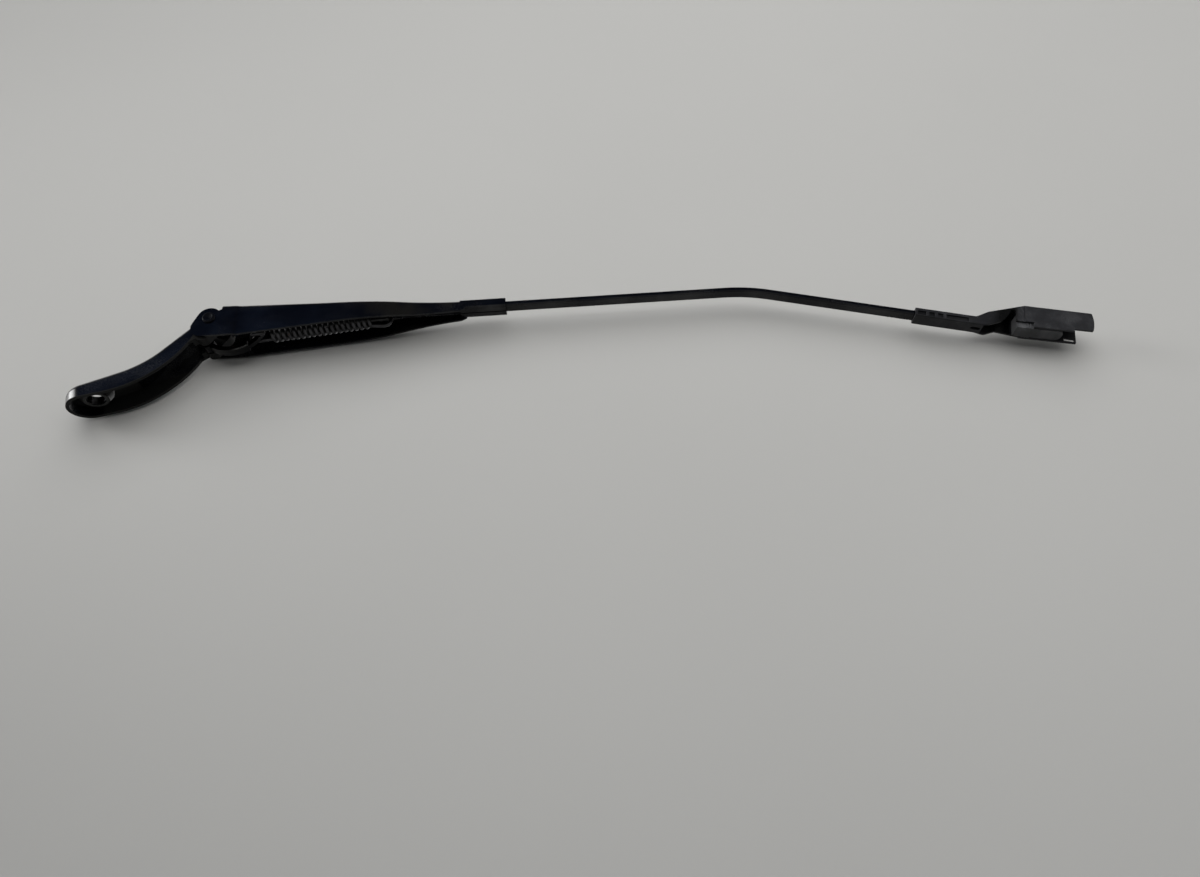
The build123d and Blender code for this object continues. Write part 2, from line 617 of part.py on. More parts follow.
def holder_body():
    """Outer form of the blade holder: sleeve, ramp with an arched underside, and hood."""
    top = HOLDER_HEIGHT / 2
    arch_x = HOOD_START_X - ARCH_SETBACK
    line = FilletPolyline(
        (0, top),
        (HOLDER_SLEEVE_LENGTH, top),
        (HOLDER_SLEEVE_LENGTH + RAMP_START_LENGTH, RAMP_START_HEIGHT),
        (HOOD_START_X, HOOD_TOP_Z),
        radius=RAMP_RADIUS,
    )
    under = Polyline(
        line @ 1,
        (HOOD_START_X, HOOD_LIP_Z),
        (arch_x, ARCH_Z),
        (arch_x - ARCH_LENGTH, -top - ARCH_DIP),
        (HOLDER_SLEEVE_LENGTH, -top),
        (0, -top),
        (0, top),
    )
    ramp = side_solid(closed(line, under), 2 * HOOD_WIDTH)
    half, sleeve_half = RAMP_WIDTH / 2, HOLDER_WIDTH / 2
    widened = HOLDER_SLEEVE_LENGTH + RAMP_START_LENGTH
    side = Line((0, sleeve_half), (HOLDER_SLEEVE_LENGTH, sleeve_half))
    side += s_curve((HOLDER_SLEEVE_LENGTH, sleeve_half), (widened, half))
    side += Line((widened, half), (HOOD_START_X, half))
    ends = Line((0, -sleeve_half), (0, sleeve_half)) + Line((HOOD_START_X, -half), (HOOD_START_X, half))
    plan = closed(side, mirror(side, Plane.XZ), ends)
    ramp &= Pos(0, 0, -HOOD_WIDTH) * extrude(plan, 4 * HOOD_WIDTH)
    long_edges = ramp.edges().filter_by(Axis.X)
    ramp = fillet([edge for edge in long_edges if (edge @ 0.5).X < HOLDER_SLEEVE_LENGTH], ROD_EDGE_RADIUS)
    return ramp + holder_hood()


def holder_hood():
    """Outer form of the hood, with a bulging nose."""
    end_top = HOOD_TOP_Z + HOOD_RISE
    lip_end = lip_z(HOOD_END_X)
    roof = Line((HOOD_START_X, HOOD_TOP_Z), (HOOD_END_X, end_top))
    nose = ThreePointArc(
        (HOOD_END_X, end_top), (HOOD_END_X + NOSE_BULGE, (end_top + lip_end) / 2), (HOOD_END_X, lip_end)
    )
    under = Polyline((HOOD_END_X, lip_end), (HOOD_START_X, HOOD_LIP_Z), (HOOD_START_X, HOOD_TOP_Z))
    hood = side_solid(closed(roof, nose, under), HOOD_WIDTH)
    roof_z = HOOD_TOP_Z - EDGE_TOLERANCE
    upper = [edge for edge in hood.edges() if (edge @ 0.5).Z > roof_z and runs_along_x(edge)]
    return fillet(upper, HOOD_EDGE_RADIUS)


def lip_z(x):
    """Height of the hood's lip."""
    return HOOD_LIP_Z + LIP_SLOPE * (x - HOOD_START_X)


def hollow_outline():
    """Side outline of the hollow under the ramp and the hood, carried past the lip and the mouth."""
    rise = (HOOD_TOP_Z - RAMP_START_HEIGHT) / (RAMP_LENGTH - RAMP_START_LENGTH)
    roof_z = HOOD_TOP_Z - HOOD_WALL * (1 + rise)
    start_x = NOTCH_START_X - HOLLOW_LEAD
    far_x = HOOD_END_X + HOOD_LENGTH
    low_z = HOOD_LIP_Z - HOOD_TOP_Z
    return make_face(
        Polyline(
            (start_x, roof_z - rise * (HOOD_START_X - start_x)),
            (HOOD_START_X, roof_z),
            (far_x, roof_z + 2 * HOOD_RISE),
            (far_x, low_z),
            (start_x, low_z),
            close=True,
        )
    )


def near_notch():
    """Side outline of the notch in the near wall, under the ramp and the back of the hood."""
    low_z = HOOD_LIP_Z - HOOD_TOP_Z
    end_x = NOTCH_STEP_X + NOTCH_STEP_LENGTH
    start = (NOTCH_START_X, -HOLDER_HEIGHT / 2)
    top = (NOTCH_STEP_X - NOTCH_TOP_LENGTH, NOTCH_TOP_Z)
    bend = ThreePointArc(start, (NOTCH_STEP_X - NOTCH_BEND_LENGTH, NOTCH_BEND_Z), top)
    rest = Polyline(
        top,
        (NOTCH_STEP_X, NOTCH_TOP_Z),
        (NOTCH_STEP_X, NOTCH_STEP_Z),
        (end_x, NOTCH_STEP_Z),
        (end_x, low_z),
        (NOTCH_START_X, low_z),
        start,
    )
    return closed(bend, rest)


def near_step():
    """Side outline of the step in the near lip, carried past the nose."""
    step_x = HOOD_END_X - LIP_STEP_LENGTH
    far_x = HOOD_END_X + HOOD_LENGTH
    low_z = HOOD_LIP_Z - HOOD_TOP_Z
    return make_face(
        Polyline(
            (step_x, low_z),
            (step_x, lip_z(step_x) + LIP_STEP),
            (far_x, lip_z(far_x) + LIP_STEP),
            (far_x, low_z),
            close=True,
        )
    )


def blade_holder():
    """Moulding on the end of the rod, cored out on its sleeve and hollow under its ramp and hood."""
    hollow = hollow_outline()
    back_x = HOOD_START_X - HOOD_LENGTH
    back = Pos((back_x + HOOD_START_X) / 2, 0, 0) * Box(HOOD_LENGTH, HOOD_WIDTH, 4 * HOOD_TOP_Z)
    body = holder_body() - (side_solid(hollow, RAMP_WIDTH - 2 * HOOD_WALL) & back)
    body -= side_solid(hollow, HOOD_WIDTH - 2 * HOOD_WALL) - back
    for opening in (near_notch(), near_step()):
        body -= side_solid(opening, HOOD_WIDTH, -HOOD_WIDTH / 2)
    far_end = HOOD_END_X - FAR_WALL_SHORTFALL
    inner_roof = HOOD_TOP_Z - HOOD_WALL
    body -= Pos(far_end + HOOD_LENGTH / 2, HOOD_WIDTH / 2, inner_roof - HOOD_TOP_Z) * Box(
        HOOD_LENGTH, HOOD_WIDTH, 2 * HOOD_TOP_Z
    )
    slot_x = far_end - FAR_SLOT_EDGE - FAR_SLOT_LENGTH / 2
    slot_z = lip_z(slot_x) + FAR_SLOT_EDGE + FAR_SLOT_HEIGHT / 2
    body -= Pos(slot_x, HOOD_WIDTH / 2, slot_z) * Box(FAR_SLOT_LENGTH, HOOD_WIDTH / 2, FAR_SLOT_HEIGHT)
    socket = Plane((0, 0, 0), x_dir=(0, 1, 0), z_dir=(1, 0, 0))
    body -= extrude(socket * rod_section(SEAT_CLEARANCE), ROD_SOCKET_DEPTH + SEAT_CLEARANCE)
    for start, length in zip(POCKET_STARTS, POCKET_LENGTHS):
        pocket = Box(length, HOLDER_WIDTH - 2 * POCKET_DEPTH, POCKET_HEIGHT)
        slab = Box(length, 2 * HOLDER_WIDTH, POCKET_HEIGHT) - pocket
        body -= Pos(start + length / 2, 0, POCKET_Z) * slab
    drain_x = HOLDER_SLEEVE_LENGTH + DRAIN_SLOT_FROM_END
    body -= Pos(drain_x, 0, -HOLDER_HEIGHT) * extrude(
        SlotOverall(DRAIN_SLOT_LENGTH, DRAIN_SLOT_WIDTH), HOLDER_HEIGHT
    )
    recess = cross_pin(PIN_RECESS_RADIUS, PIN_RECESS_DEPTH, ADAPTER_PIN_X, ADAPTER_PIN_Z)
    body -= Pos(0, (RAMP_WIDTH - PIN_RECESS_DEPTH) / 2, 0) * recess
    hole = cross_pin(ADAPTER_PIN_RADIUS, RAMP_WIDTH, ADAPTER_PIN_X, ADAPTER_PIN_Z)
    return HOLDER * (body - Pos(0, RAMP_WIDTH / 2, 0) * hole)


def blade_adapter():
    """Insert under the hood: a ribbed block on the pin, and a plate along the lip."""
    block = make_face(
        Polyline(
            (ADAPTER_BACK_X, HOOD_LIP_Z),
            (ADAPTER_FRONT_X, HOOD_LIP_Z),
            (ADAPTER_FRONT_X, ADAPTER_TOP_Z),
            (ADAPTER_BACK_X, ADAPTER_TOP_Z),
            close=True,
        )
    )
    hole = Pos(ADAPTER_PIN_X, ADAPTER_PIN_Z) * Circle(ADAPTER_PIN_RADIUS)
    insert = side_solid(block - hole, ADAPTER_WIDTH)
    rib_height = ADAPTER_TOP_Z - HOOD_LIP_Z
    for index in range(ADAPTER_RIBS):
        rib_x = ADAPTER_FRONT_X - ADAPTER_RIB - index * ADAPTER_RIB_PITCH
        rib = Box(ADAPTER_RIB, ADAPTER_WIDTH + 2 * ADAPTER_RIB_DEPTH, rib_height)
        insert += Pos(rib_x, 0, HOOD_LIP_Z + rib_height / 2) * rib
    plate = Pos(ADAPTER_PLATE_LENGTH / 2, 0) * Rectangle(ADAPTER_PLATE_LENGTH, ADAPTER_WIDTH)
    plate = fillet(plate.vertices().sort_by(Axis.X)[-2:], ADAPTER_PLATE_RADIUS)
    root_x = ADAPTER_FRONT_X - ADAPTER_RIB
    along_lip = Pos(root_x, 0, lip_z(root_x)) * Rot(0, -degrees(atan2(LIP_SLOPE, 1)), 0)
    return HOLDER * (insert + along_lip * extrude(plate, ADAPTER_PLATE_HEIGHT))


def adapter_pin():
    """Cross pin from the near face of the adapter into the far wall, sunk in a recess there."""
    far_y = RAMP_WIDTH / 2 - PIN_RECESS_DEPTH
    near_y = -ADAPTER_WIDTH / 2
    pin = cross_pin(ADAPTER_PIN_RADIUS, far_y - near_y, ADAPTER_PIN_X, ADAPTER_PIN_Z)
    return HOLDER * Pos(0, (far_y + near_y) / 2, 0) * pin


def main():
    os.makedirs("parts", exist_ok=True)
    save("arm_head", arm_head())
    save("hinge_bush_near", hinge_bush(-1))
    save("hinge_bush_far", hinge_bush(1))
    save("hinge_pin", hinge_pin())
    save("spring_pin", cross_pin(SPRING_PIN_RADIUS, FORK_WIDTH, *SPRING_PIN))
    save("spring_hook", spring_hook())
    save("tension_spring", tension_spring())
    save("channel", channel())
    save("rod", rod())
    save("blade_holder", blade_holder())
    save("blade_adapter", blade_adapter())
    save("adapter_pin", adapter_pin())


main()
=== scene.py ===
import json
import math

import bpy
import numpy as np
from bpy.props import FloatProperty, FloatVectorProperty, IntProperty, PointerProperty
from mathutils import Matrix, Vector


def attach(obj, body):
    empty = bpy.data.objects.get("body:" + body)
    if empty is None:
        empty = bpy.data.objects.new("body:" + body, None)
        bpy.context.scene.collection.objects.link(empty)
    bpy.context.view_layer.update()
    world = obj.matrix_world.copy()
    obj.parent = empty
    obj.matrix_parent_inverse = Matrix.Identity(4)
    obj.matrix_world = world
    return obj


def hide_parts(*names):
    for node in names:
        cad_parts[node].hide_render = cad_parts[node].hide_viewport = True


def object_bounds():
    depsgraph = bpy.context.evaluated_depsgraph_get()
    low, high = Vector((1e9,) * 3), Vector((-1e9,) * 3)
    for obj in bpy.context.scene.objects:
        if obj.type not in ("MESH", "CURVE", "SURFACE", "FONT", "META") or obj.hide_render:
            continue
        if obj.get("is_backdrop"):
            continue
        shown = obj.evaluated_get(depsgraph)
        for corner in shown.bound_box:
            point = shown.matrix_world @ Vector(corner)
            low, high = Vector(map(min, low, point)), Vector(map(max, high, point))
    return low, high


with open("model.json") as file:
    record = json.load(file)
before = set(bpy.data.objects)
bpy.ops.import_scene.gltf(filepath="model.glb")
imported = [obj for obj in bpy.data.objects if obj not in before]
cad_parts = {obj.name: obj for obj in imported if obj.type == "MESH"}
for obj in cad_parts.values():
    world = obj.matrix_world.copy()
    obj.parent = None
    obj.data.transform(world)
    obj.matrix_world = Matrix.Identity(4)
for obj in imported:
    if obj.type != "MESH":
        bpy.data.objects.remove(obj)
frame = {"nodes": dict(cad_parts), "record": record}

bl_info = {
    "name": "Wiper Arm Looks",
    "version": (1, 0, 0),
    "blender": (4, 5, 0),
    "location": "3D View > Sidebar > Wiper Arm",
    "description": "Finishes, spring wire and stage for a windscreen wiper arm",
    "category": "Object",
}

MM = 0.001
ORIGIN = (0.0, 0.0, 0.0)
X_AXIS = (1.0, 0.0, 0.0)
Y_AXIS = (0.0, 1.0, 0.0)
Z_AXIS = (0.0, 0.0, 1.0)
SENSOR_WIDTH = 36.0
CLIP_RANGE = (0.01, 50.0)
TURN_STEPS = 40
TURNING_RINGS = 9000.0


class Value:
    """A shader socket that takes part in arithmetic, so that a mask reads as its formula."""

    def __init__(self, tree, socket):
        self.tree = tree
        self.socket = socket

    def feed(self, target, value):
        """Links a value to an input, or sets a constant on it."""
        if isinstance(value, Value):
            self.tree.links.new(value.socket, target)
        else:
            target.default_value = value

    def node(self, kind, inputs, output=0, **options):
        """Adds any other node with its options set and its inputs fed, and returns one of its outputs."""
        made = self.tree.nodes.new(kind)
        for name, option in options.items():
            setattr(made, name, option)
        for key, value in inputs.items():
            self.feed(made.inputs[key], value)
        return Value(self.tree, made.outputs[output])

    def math(self, operation, *values):
        """One step of arithmetic."""
        return self.node("ShaderNodeMath", dict(enumerate(values)), operation=operation)

    def __add__(self, other):
        return self.math("ADD", self, other)

    def __radd__(self, other):
        return self.math("ADD", other, self)

    def __sub__(self, other):
        return self.math("SUBTRACT", self, other)

    def __rsub__(self, other):
        return self.math("SUBTRACT", other, self)

    def __mul__(self, other):
        return self.math("MULTIPLY", self, other)

    def __rmul__(self, other):
        return self.math("MULTIPLY", other, self)


def band(value, low, high):
    """0 below the low end, 1 above the high end and a smooth step between them. The ends may be swapped."""
    inputs = {"Value": value, "From Min": low, "From Max": high}
    return value.node("ShaderNodeMapRange", inputs, interpolation_type="SMOOTHSTEP")


def between(value, low, high, soft):
    """1 from the low to the high end and 0 outside, with soft ends."""
    return band(value, low - soft, low + soft) * band(value, high + soft, high - soft)


def noise(at, scale, detail=4.0, roughness=0.5):
    """Fractal noise about 0.5 at a place, its scale in cells a metre."""
    inputs = {"Vector": at, "Scale": scale, "Detail": detail, "Roughness": roughness}
    return at.node("ShaderNodeTexNoise", inputs, output="Fac")


def streaks(at, stretch, scale, detail=4.0):
    """Noise drawn out along the axes that the stretch makes small."""
    drawn = at.node("ShaderNodeVectorMath", {0: at, 1: stretch}, operation="MULTIPLY")
    return noise(drawn, scale, detail, 0.6)


def blend(factor, first, second):
    """Colour that goes from the first to the second as the factor goes from 0 to 1."""
    inputs = {"Factor": factor, 6: first, 7: second}
    return factor.node("ShaderNodeMix", inputs, output=2, data_type="RGBA")


def along(at, origin, axis):
    """Distance of a place from the origin along an axis."""
    moved = at.node("ShaderNodeVectorMath", {0: at, 1: origin}, operation="SUBTRACT")
    return at.node("ShaderNodeVectorMath", {0: moved, 1: axis}, output="Value", operation="DOT_PRODUCT")


def length(first, second):
    """Length of a vector with two parts."""
    square = first * first + second * second
    return square.math("SQRT", square)


def bump(height, strength, distance):
    """Surface normal with a fine relief of that height field."""
    inputs = {"Height": height, "Strength": strength, "Distance": distance}
    return height.node("ShaderNodeBump", inputs)


def opaque(colour):
    """A colour with full alpha."""
    return (*colour, 1.0)


def new_material(name, build, constants):
    """A material whose varying inputs come from a build function of the object's own coordinates."""
    material = bpy.data.materials.new(name)
    material.use_nodes = True
    tree = material.node_tree
    shader = tree.nodes["Principled BSDF"]
    at = Value(tree, tree.nodes.new("ShaderNodeTexCoord").outputs["Object"])
    for key, value in constants.items():
        shader.inputs[key].default_value = value
    for key, value in build(at).items():
        at.feed(shader.inputs[key], value)
    return material


def dress(material, *names):
    """Gives CAD nodes one material."""
    for name in names:
        mesh = frame["nodes"][name].data
        mesh.materials.clear()
        mesh.materials.append(material)


def joint_place(name):
    """Rest place of a joint's axis in the row frame, in metres."""
    joints = frame["record"]["behaviour"]["joints"]
    return Vector(next(joint["pos_m"] for joint in joints if joint["name"] == name))


def paint_layers(at, paint):
    """Colour, roughness, coat and relief of paint with grease smears, settled dust and orange peel."""
    smear = streaks(at, (0.35, 1.0, 1.0), 90.0)
    cloud = noise(at, 38.0, 3.0)
    grit = noise(at, 2600.0, 2.0, 0.7)
    dust = band(cloud, 0.42, 0.72) * band(grit, 0.46, 0.66)
    colour = blend(band(smear, 0.35, 0.7), opaque(paint.deep), opaque(paint.worn))
    colour = blend(dust * paint.dust, colour, opaque(paint.dust_colour))
    roughness = paint.roughness + band(smear, 0.4, 0.75) * 0.16 + dust * 0.3
    coat = band(noise(at, 30.0, 3.0, 0.6), 0.4, 0.64) * 0.8
    peel = noise(at, 420.0, 2.0) + noise(at, 1500.0, 2.0) * 0.35
    return colour, roughness, coat, peel


class WiperPaint(bpy.types.PropertyGroup):
    """Blue-black gloss paint on the head, the channel, the rivet and the bar."""

    deep: FloatVectorProperty(
        name="Deep colour", description="Clean paint", subtype="COLOR", default=(0.001, 0.0013, 0.0028)
    )
    worn: FloatVectorProperty(
        name="Worn colour", description="Paint dulled by grease and rubbing", subtype="COLOR",
        default=(0.002, 0.0025, 0.0048),
    )
    dust_colour: FloatVectorProperty(
        name="Dust colour", description="Settled road dust", subtype="COLOR", default=(0.1, 0.097, 0.09)
    )
    # Bare metal is also used as a painted highlight along the channel's cut lip.
    bare: FloatVectorProperty(
        name="Bare metal", description="Metal where the paint has gone", subtype="COLOR",
        default=(0.06, 0.062, 0.06),
    )
    casting: FloatVectorProperty(
        name="Casting", description="Dull grimy casting inside the head", subtype="COLOR",
        default=(0.0032, 0.0032, 0.0028),
    )
    film: FloatVectorProperty(
        name="Film colour", description="Dried road dirt towards the sleeve", subtype="COLOR",
        default=(0.0085, 0.008, 0.007),
    )
    film_start: FloatProperty(
        name="Film start", description="First dirt past the hinge", unit="LENGTH", default=70.0 * MM
    )
    film_full: FloatProperty(
        name="Film full", description="Where the dirt is thickest", unit="LENGTH", default=120.0 * MM
    )
    film_fade: FloatProperty(
        name="Film fade", description="Where the dirt thins again", unit="LENGTH", default=150.0 * MM
    )
    film_end: FloatProperty(
        name="Film end", description="Last dirt past the hinge", unit="LENGTH", default=165.0 * MM
    )
    film_cover: FloatProperty(
        name="Film cover", description="Cover of the dirt", subtype="FACTOR", default=0.8
    )
    dust: FloatProperty(name="Dust", description="Cover of dust", subtype="FACTOR", default=0.12)
    roughness: FloatProperty(
        name="Roughness", description="Gloss of clean paint", subtype="FACTOR", default=0.15
    )
    boss_radius: FloatProperty(
        name="Boss radius", description="Edge of the bare face round the bore", unit="LENGTH",
        default=7.4 * MM,
    )
    bore_radius: FloatProperty(
        name="Bore radius", description="Widest radius of the bore", unit="LENGTH", default=5.5 * MM
    )
    land: FloatProperty(
        name="Bore land", description="Straight part of the bore", unit="LENGTH", default=2.2 * MM
    )
    top_radius: FloatProperty(
        name="Bore top radius", description="Bore at the nut seat", unit="LENGTH", default=4.25 * MM
    )
    seat_height: FloatProperty(
        name="Seat height", description="Nut seat over the boss face", unit="LENGTH", default=5.4 * MM
    )
    tooth: FloatProperty(
        name="Tooth", description="Depth of a serration", unit="LENGTH", default=0.6 * MM
    )
    hollow_half: FloatProperty(
        name="Hollow half", description="Half the hollow of the head", unit="LENGTH", default=10.35 * MM
    )
    hollow_depth: FloatProperty(
        name="Hollow depth", description="Underside of the crown over the boss face", unit="LENGTH",
        default=5.3 * MM,
    )
    hollow_rise: FloatProperty(name="Hollow rise", description="Slope of that underside", default=0.158)
    rim_drop: FloatProperty(
        name="Rim drop", description="Rim of the head below the boss face", unit="LENGTH",
        default=4.0 * MM,
    )
    rim_bend: FloatProperty(
        name="Rim bend", description="Where the rim starts to rise", unit="LENGTH", default=8.0 * MM
    )
    rim_radius: FloatProperty(
        name="Rim radius", description="Radius of the rising rim", unit="LENGTH", default=68.0 * MM
    )
    serrations: IntProperty(name="Serrations", description="Teeth round the bore", default=48)
    droop: FloatProperty(
        name="Droop", description="Fall of the arm's axis", subtype="ANGLE", default=math.radians(10.8)
    )
    lip_drop: FloatProperty(
        name="Lip drop", description="Cut lip of the channel below the hinge", unit="LENGTH",
        default=13.5 * MM,
    )
    lip_bend: FloatProperty(
        name="Lip bend", description="Where the lip starts to rise", unit="LENGTH", default=18.0 * MM
    )
    # The lip settings place worn metal and a painted highlight along the channel's cut lip.
    lip_end: FloatProperty(
        name="Lip end", description="End of the rubbed lip", unit="LENGTH", default=155.0 * MM
    )
    lip_slope: FloatProperty(
        name="Lip slope", description="Rise of the lip along the arm", default=0.0917
    )


class WiperSteel(bpy.types.PropertyGroup):
    """Dark oiled steel of the spring, the hook and the pins."""

    wire: FloatVectorProperty(
        name="Wire colour", description="Oiled spring wire", subtype="COLOR",
        default=(0.045, 0.045, 0.048),
    )
    black: FloatVectorProperty(
        name="Blackened colour", description="Blackened strip of the hook", subtype="COLOR",
        default=(0.005, 0.0052, 0.006),
    )
    rust: FloatVectorProperty(
        name="Rust colour", description="Thin rust in sheltered spots", subtype="COLOR",
        default=(0.06, 0.026, 0.012),
    )
    # Painted highlight: pale colour of the hook's bow edge, standing in for light caught by the edge.
    highlit: FloatVectorProperty(
        name="Rubbed colour", description="Bright edge of the hook", subtype="COLOR",
        default=(0.09, 0.09, 0.085),
    )
    roughness: FloatProperty(
        name="Roughness", description="Gloss of the steel", subtype="FACTOR", default=0.24
    )
    bow_place: FloatProperty(
        name="Bow place", description="Middle of the hook's bow along the pull", unit="LENGTH",
        default=15.65 * MM,
    )
    bow_height: FloatProperty(
        name="Bow height", description="Middle of the hook's bow across the pull", unit="LENGTH",
        default=11.8 * MM,
    )
    bow_radius: FloatProperty(
        name="Bow radius", description="Outer edge of the hook's bow", unit="LENGTH", default=21.1 * MM
    )
    bow_half: FloatProperty(
        name="Bow half", description="Half the width of the hook", unit="LENGTH", default=3.0 * MM
    )


class WiperPlastic(bpy.types.PropertyGroup):
    """Weathered plastic of the blade holder, its insert and the bushes."""

    holder: FloatVectorProperty(
        name="Holder colour", description="Dark moulding", subtype="COLOR",
        default=(0.0095, 0.0098, 0.0116),
    )
    adapter: FloatVectorProperty(
        name="Insert colour", description="Grey insert", subtype="COLOR", default=(0.042, 0.043, 0.046)
    )
    dust_colour: FloatVectorProperty(
        name="Dust colour", description="Pale dust in the grain", subtype="COLOR",
        default=(0.13, 0.13, 0.13),
    )
    dust: FloatProperty(name="Dust", description="Cover of dust", subtype="FACTOR", default=0.4)
    # Painted shade: these settings darken the ramp behind the socket, standing in for the shade inside it,
    # and make it glossier.
    grime_and_shade: FloatProperty(
        name="Grime", description="Cover of wet grime on the ramp", subtype="FACTOR", default=0.97
    )
    shade_start: FloatProperty(
        name="Grime start", description="First grime behind the socket", unit="LENGTH", default=61.0 * MM
    )
    shade_full: FloatProperty(
        name="Grime full", description="Where the grime is whole", unit="LENGTH", default=48.0 * MM
    )
    shade_fade: FloatProperty(
        name="Grime fade", description="Where the grime thins again", unit="LENGTH", default=41.0 * MM
    )
    shade_end: FloatProperty(
        name="Grime end", description="Last grime behind the socket", unit="LENGTH", default=36.5 * MM
    )
    # Painted shade also darkens the pockets, for the shade that falls in them.
    pocket_inner: FloatProperty(
        name="Pocket inner", description="Inner edge of the pockets", unit="LENGTH", default=3.95 * MM
    )
    pocket_outer: FloatProperty(
        name="Pocket outer", description="Outer edge of the pockets", unit="LENGTH", default=4.6 * MM
    )
    pocket_end: FloatProperty(
        name="Pocket end", description="End of the pockets behind the socket", unit="LENGTH",
        default=63.0 * MM,
    )
    pocket_full: FloatProperty(
        name="Pocket full", description="Where their grime is whole", unit="LENGTH", default=65.0 * MM
    )
    chafe_back: FloatProperty(
        name="Chafe back", description="Start of the chafed hood", unit="LENGTH", default=38.0 * MM
    )
    chafe_front: FloatProperty(
        name="Chafe front", description="End of the chafed hood", unit="LENGTH", default=35.0 * MM
    )
    roughness: FloatProperty(
        name="Roughness", description="Dullness of the grain", subtype="FACTOR", default=0.52
    )


class WiperSpring(bpy.types.PropertyGroup):
    """Round wire of the tension spring, measured from the spring pin along the line of pull."""

    wire_radius: FloatProperty(
        name="Wire radius", description="Half the wire", unit="LENGTH", default=1.28 * MM
    )
    coil_radius: FloatProperty(
        name="Coil radius", description="Middle of the wire", unit="LENGTH", default=3.7 * MM
    )
    pitch: FloatProperty(name="Pitch", description="Rise of one turn", unit="LENGTH", default=3.4 * MM)
    turns: FloatProperty(name="Turns", description="Turns of the coil", default=18.75)
    coil_start: FloatProperty(
        name="Coil start", description="First turn", unit="LENGTH", default=38.9 * MM
    )
    loop_place: FloatProperty(
        name="Loop", description="Middle of the end loop", unit="LENGTH", default=30.7 * MM
    )
    shared_start: FloatProperty(
        name="Shared start", description="Turn where the shared turns begin", default=8.0
    )
    shared_turns: FloatProperty(
        name="Shared turns", description="Turns that both halves draw at rest", default=2.6
    )
    inner_share: FloatProperty(
        name="Inner share", description="Wire of the sliding turns against the rest", subtype="FACTOR",
        default=0.97,
    )
    tail_drop: FloatProperty(
        name="Tail drop", description="Lowest point of the tail", unit="LENGTH", default=6.0 * MM
    )
    tail_rise: FloatProperty(
        name="Tail rise", description="End of the tail", unit="LENGTH", default=4.8 * MM
    )
    tail_bend: FloatProperty(
        name="Tail bend", description="Radius of its bend", unit="LENGTH", default=4.0 * MM
    )


class WiperStage(bpy.types.PropertyGroup):
    """Floor, lamps and camera. The arm lies on its side, so the floor faces -Y."""

    floor_gap: FloatProperty(
        name="Floor gap", description="Space under the arm", unit="LENGTH", default=0.2 * MM
    )
    floor_size: FloatProperty(
        name="Floor size", description="Side of the floor", unit="LENGTH", default=3.2
    )
    floor_colour: FloatVectorProperty(
        name="Floor colour", description="Pale grey", subtype="COLOR", default=(0.53, 0.525, 0.505)
    )
    aim: FloatVectorProperty(
        name="Aim", description="Middle of the arm", unit="LENGTH", default=(0.3, 0.0, -0.03)
    )
    lamp_distance: FloatProperty(
        name="Lamp distance", description="From the aim", unit="LENGTH", default=1.3
    )
    lamp_size: FloatProperty(name="Lamp size", description="Width of a lamp", unit="LENGTH", default=0.8)
    rear_size: FloatProperty(
        name="Rear size", description="Width of the rear lamp", unit="LENGTH", default=2.0
    )
    left_height: FloatProperty(
        name="Left height", description="Height of the left lamp", unit="LENGTH", default=0.4
    )
    left_spread: FloatProperty(
        name="Left spread", description="Cone of the left lamp, clear of its own foot", subtype="ANGLE",
        default=math.radians(50.0),
    )
    rear_way: FloatVectorProperty(
        name="Rear lamp way", description="Up and past the arm", default=(0.15, -0.85, 0.5)
    )
    left_way: FloatVectorProperty(
        name="Left lamp way", description="Low past the head", default=(-0.85, -0.28, 0.44)
    )
    right_way: FloatVectorProperty(
        name="Right lamp way", description="Up and past the blade end", default=(0.75, -0.65, -0.1)
    )
    under_way: FloatVectorProperty(
        name="Under lamp way", description="Behind the floor", default=(0.0, 0.95, 0.3)
    )
    rear_power: FloatProperty(name="Rear lamp", description="Main soft lamp", unit="POWER", default=23.0)
    left_power: FloatProperty(
        name="Left lamp", description="Soft lamp past the head", unit="POWER", default=0.75
    )
    right_power: FloatProperty(
        name="Right lamp", description="Soft lamp past the blade", unit="POWER", default=2.0
    )
    under_power: FloatProperty(
        name="Under lamp", description="Fill behind the floor", unit="POWER", default=9.0
    )
    sky: FloatProperty(name="Sky", description="Level of the world's light", default=0.05)
    sky_colour: FloatVectorProperty(
        name="Sky colour", description="Tint of the world's light", subtype="COLOR",
        default=(0.9, 0.95, 1.0),
    )
    wall: FloatVectorProperty(
        name="Wall", description="Pale walls in view and in reflections", subtype="COLOR",
        default=(0.5, 0.495, 0.476),
    )
    ceiling_way: FloatVectorProperty(
        name="Ceiling way", description="Middle of the dim ceiling", default=(0.1, -0.6, 0.79)
    )
    ceiling_edge: FloatVectorProperty(
        name="Ceiling edge", description="Cosines of the angles where it starts and is full", size=2,
        default=(0.74, 0.8),
    )
    patch_way: FloatVectorProperty(
        name="Patch way", description="Middle of the brighter patch of sky", default=(-0.27, -0.73, 0.63)
    )
    patch_edge: FloatProperty(
        name="Patch edge", description="Cosine of the angle where the patch ends", default=0.9
    )
    patch: FloatProperty(name="Patch", description="Level of the patch", default=0.13)
    patch_colour: FloatVectorProperty(
        name="Patch colour", description="Tint of the patch", subtype="COLOR", default=(0.33, 0.5, 0.9)
    )
    camera_place: FloatVectorProperty(
        name="Camera", description="Place of the camera", unit="LENGTH",
        default=(0.2392, -0.43473, -0.33767),
    )
    camera_right: FloatVectorProperty(
        name="Camera right", description="Right of the picture", default=(0.96764, 0.01548, -0.25185)
    )
    camera_up: FloatVectorProperty(
        name="Camera up", description="Top of the picture", default=(0.22831, -0.47866, 0.8478)
    )
    lens: FloatProperty(name="Lens", description="Focal length on a 36 mm sensor", default=25.06)


